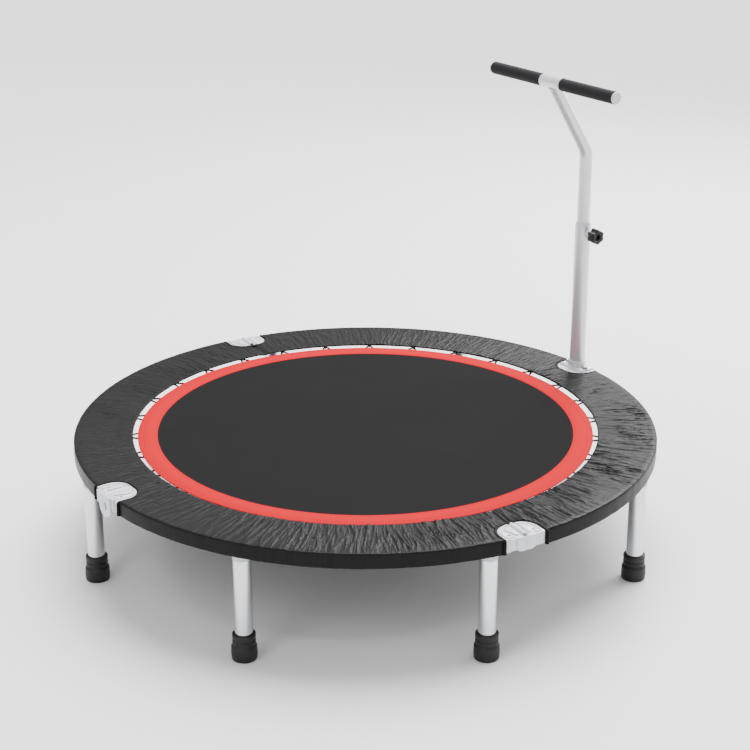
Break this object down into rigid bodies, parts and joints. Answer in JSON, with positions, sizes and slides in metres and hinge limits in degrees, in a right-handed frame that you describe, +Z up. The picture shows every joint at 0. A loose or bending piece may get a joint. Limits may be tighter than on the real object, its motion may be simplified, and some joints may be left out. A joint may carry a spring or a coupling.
{
  "type": "mini trampoline",
  "caption": "Round folding rebounder: woven mat hung on springs in a tube ring, gathered edge pad, chrome screw-in legs with rubber feet, and a T-bar handle on a telescoping post.",
  "frame": {"origin": "on the floor under the centre of the ring", "axes": "+Z up; the ring is seen from -Y (its front); +X is to the right"},
  "size_m": [1.2198, 1.22, 0.9307],
  "materials": {
    "frame_steel": "black powder coat on bent steel tube",
    "leg_chrome": "polished chrome plate",
    "zinc_steel": "zinc plated steel",
    "foot_rubber": "moulded black rubber",
    "mat_weave": "matte woven polypropylene",
    "border_band": "red sewn border",
    "black_webbing": "black polyester webbing",
    "black_wire": "black coated wire",
    "spring_steel": "zinc plated spring wire",
    "pad_vinyl": "gathered black coated cloth",
    "pad_foam": "closed-cell foam",
    "bracket_steel": "silver-grey powder coat",
    "post_steel": "satin silver coat",
    "bushing_plastic": "moulded nylon",
    "grip_foam": "black foam sleeve",
    "cap_plastic": "silver moulded cap",
    "knob_plastic": "black moulded plastic"
  },
  "bodies": {
    "frame_rear": {"frame_tube_right": "frame_steel", "frame_tube_back": "frame_steel", "leg_sockets_rear": "frame_steel", "leg_tubes_rear": "leg_chrome", "leg_studs_rear": "zinc_steel", "rubber_feet_rear": "foot_rubber", "springs_rear": "spring_steel", "spring_eyes_rear": "zinc_steel", "pad_cover_rear": "pad_vinyl", "pad_foam_rear": "pad_foam", "near_hinge_fixed_leaf": "bracket_steel", "near_hinge_pin": "zinc_steel", "far_hinge_fixed_leaf": "bracket_steel", "far_hinge_pin": "zinc_steel", "right_bracket_leaf": "bracket_steel", "right_bracket_ear_leaf": "bracket_steel", "right_bracket_rivet": "zinc_steel", "bracket_bolts_rear": "zinc_steel", "post_foot": "post_steel", "post_bolts": "zinc_steel", "post_nuts": "zinc_steel", "lower_post": "post_steel", "post_bushing": "bushing_plastic", "clamp_boss": "post_steel"},
    "frame_front": {"frame_tube_left": "frame_steel", "frame_tube_front": "frame_steel", "leg_sockets_front": "frame_steel", "leg_tubes_front": "leg_chrome", "leg_studs_front": "zinc_steel", "rubber_feet_front": "foot_rubber", "springs_front": "spring_steel", "spring_eyes_front": "zinc_steel", "pad_cover_front": "pad_vinyl", "pad_foam_front": "pad_foam", "near_hinge_moving_leaf": "bracket_steel", "far_hinge_moving_leaf": "bracket_steel", "left_bracket_leaf": "bracket_steel", "left_bracket_ear_leaf": "bracket_steel", "left_bracket_rivet": "zinc_steel", "bracket_bolts_front": "zinc_steel"},
    "mat_rear": {"mat_fabric_rear": "mat_weave", "mat_border_rear": "border_band", "mat_webbing_rear": "black_webbing", "v_rings_rear": "black_wire", "crease_tape_rear": "black_webbing"},
    "mat_crease": {"crease_tape_front": "black_webbing"},
    "mat_front": {"mat_fabric_front": "mat_weave", "mat_border_front": "border_band", "mat_webbing_front": "black_webbing", "v_rings_front": "black_wire"},
    "handle": {"upper_post": "post_steel", "crossbar": "post_steel", "tee_sleeve": "post_steel", "grip_left": "grip_foam", "grip_right": "grip_foam", "end_cap_left": "cap_plastic", "end_cap_right": "cap_plastic"},
    "clamp_knob": {"clamp_knob": "knob_plastic", "clamp_screw": "zinc_steel"}
  },
  "joints": [
    {"name": "fold", "type": "hinge", "parent": "frame_rear", "child": "frame_front", "pos_m": [0, 0, 0.2465], "axis": [-0.4848, 0.8746, 0], "range_deg": [0, 155]},
    {"name": "mat_bounce", "type": "slide", "parent": "frame_rear", "child": "mat_rear", "axis": [0, 0, 1], "range_m": [-0.08, 0], "stiffness_N_per_m": 8000, "springref_m": 0.012, "deforming": ["springs_rear", "springs_front", "v_rings_rear", "v_rings_front"]},
    {"name": "mat_bounce_front", "type": "slide", "parent": "frame_front", "child": "mat_front", "axis": [0, 0, 1], "range_m": [-0.08, 0]},
    {"name": "mat_crease_fold", "type": "hinge", "parent": "mat_rear", "child": "mat_crease", "pos_m": [0, 0, 0.2465], "axis": [-0.4848, 0.8746, 0], "range_deg": [0, 155]},
    {"name": "handle_height", "type": "slide", "parent": "frame_rear", "child": "handle", "axis": [0, 0, 1], "range_m": [-0.12, 0.1]},
    {"name": "clamp_knob_turn", "type": "hinge", "parent": "frame_rear", "child": "clamp_knob", "pos_m": [0.48494, 0.33956, 0.567], "axis": [0.5736, -0.8192, 0], "range_deg": [0, 360]}
  ],
  "couplings": [
    {"joint": "mat_bounce_front", "follows": "mat_bounce", "ratio": 1},
    {"joint": "mat_crease_fold", "follows": "fold", "ratio": 1}
  ]
}
